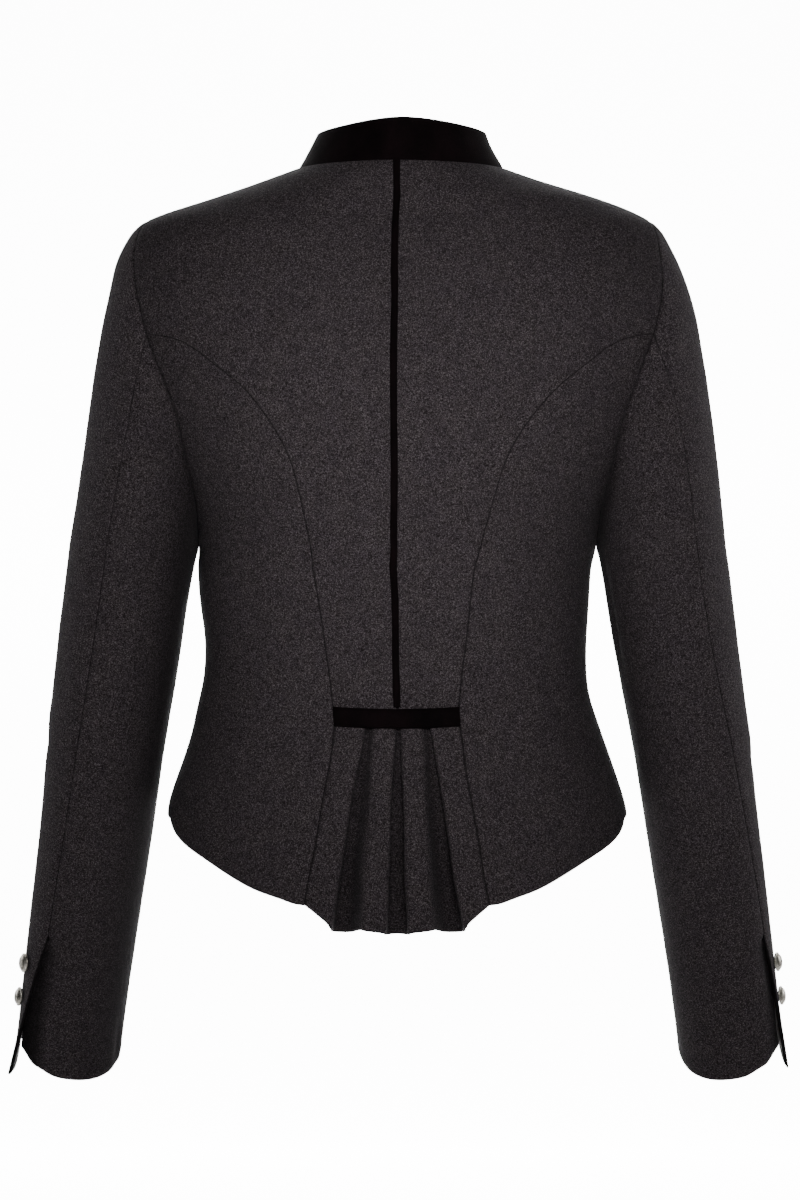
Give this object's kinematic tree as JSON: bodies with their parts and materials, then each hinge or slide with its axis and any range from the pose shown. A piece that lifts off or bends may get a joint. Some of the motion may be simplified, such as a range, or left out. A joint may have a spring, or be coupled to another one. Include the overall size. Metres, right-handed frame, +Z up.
{
  "type": "jacket",
  "caption": "Short fitted loden jacket with a velvet stand collar, piping and waist tab, a pleated back and vented cuffs, worn but empty",
  "frame": {"origin": "Between the wearer's shoulders, level with the points where the shoulders meet the neck, where the shoulders carry the jacket.", "axes": "+Z is up. -Y is the front, where the jacket closes, and +Y is the back. +X is the wearer's left."},
  "size_m": [0.5676, 0.2568, 0.6939],
  "materials": {
    "loden": "melange wool, matt",
    "velvet": "cotton velvet",
    "silver": "antique silver"
  },
  "bodies": {
    "root": {"back_left": "loden", "back_right": "loden", "side_back_left": "loden", "side_back_right": "loden", "pleated_insert": "loden", "side_front_left": "loden", "side_front_right": "loden", "front_left": "loden", "front_right": "loden", "upper_sleeve_left": "loden", "upper_sleeve_right": "loden", "under_sleeve_left": "loden", "under_sleeve_right": "loden", "collar": "velvet", "waist_tab": "velvet", "back_piping": "velvet", "vent_facing_left": "velvet", "vent_facing_right": "velvet", "cuff_button_left_upper": "silver", "cuff_button_left_lower": "silver", "cuff_button_right_upper": "silver", "cuff_button_right_lower": "silver", "front_button_1": "silver", "front_button_2": "silver", "front_button_3": "silver", "front_button_4": "silver", "front_button_5": "silver", "front_button_6": "silver"}
  },
  "joints": []
}
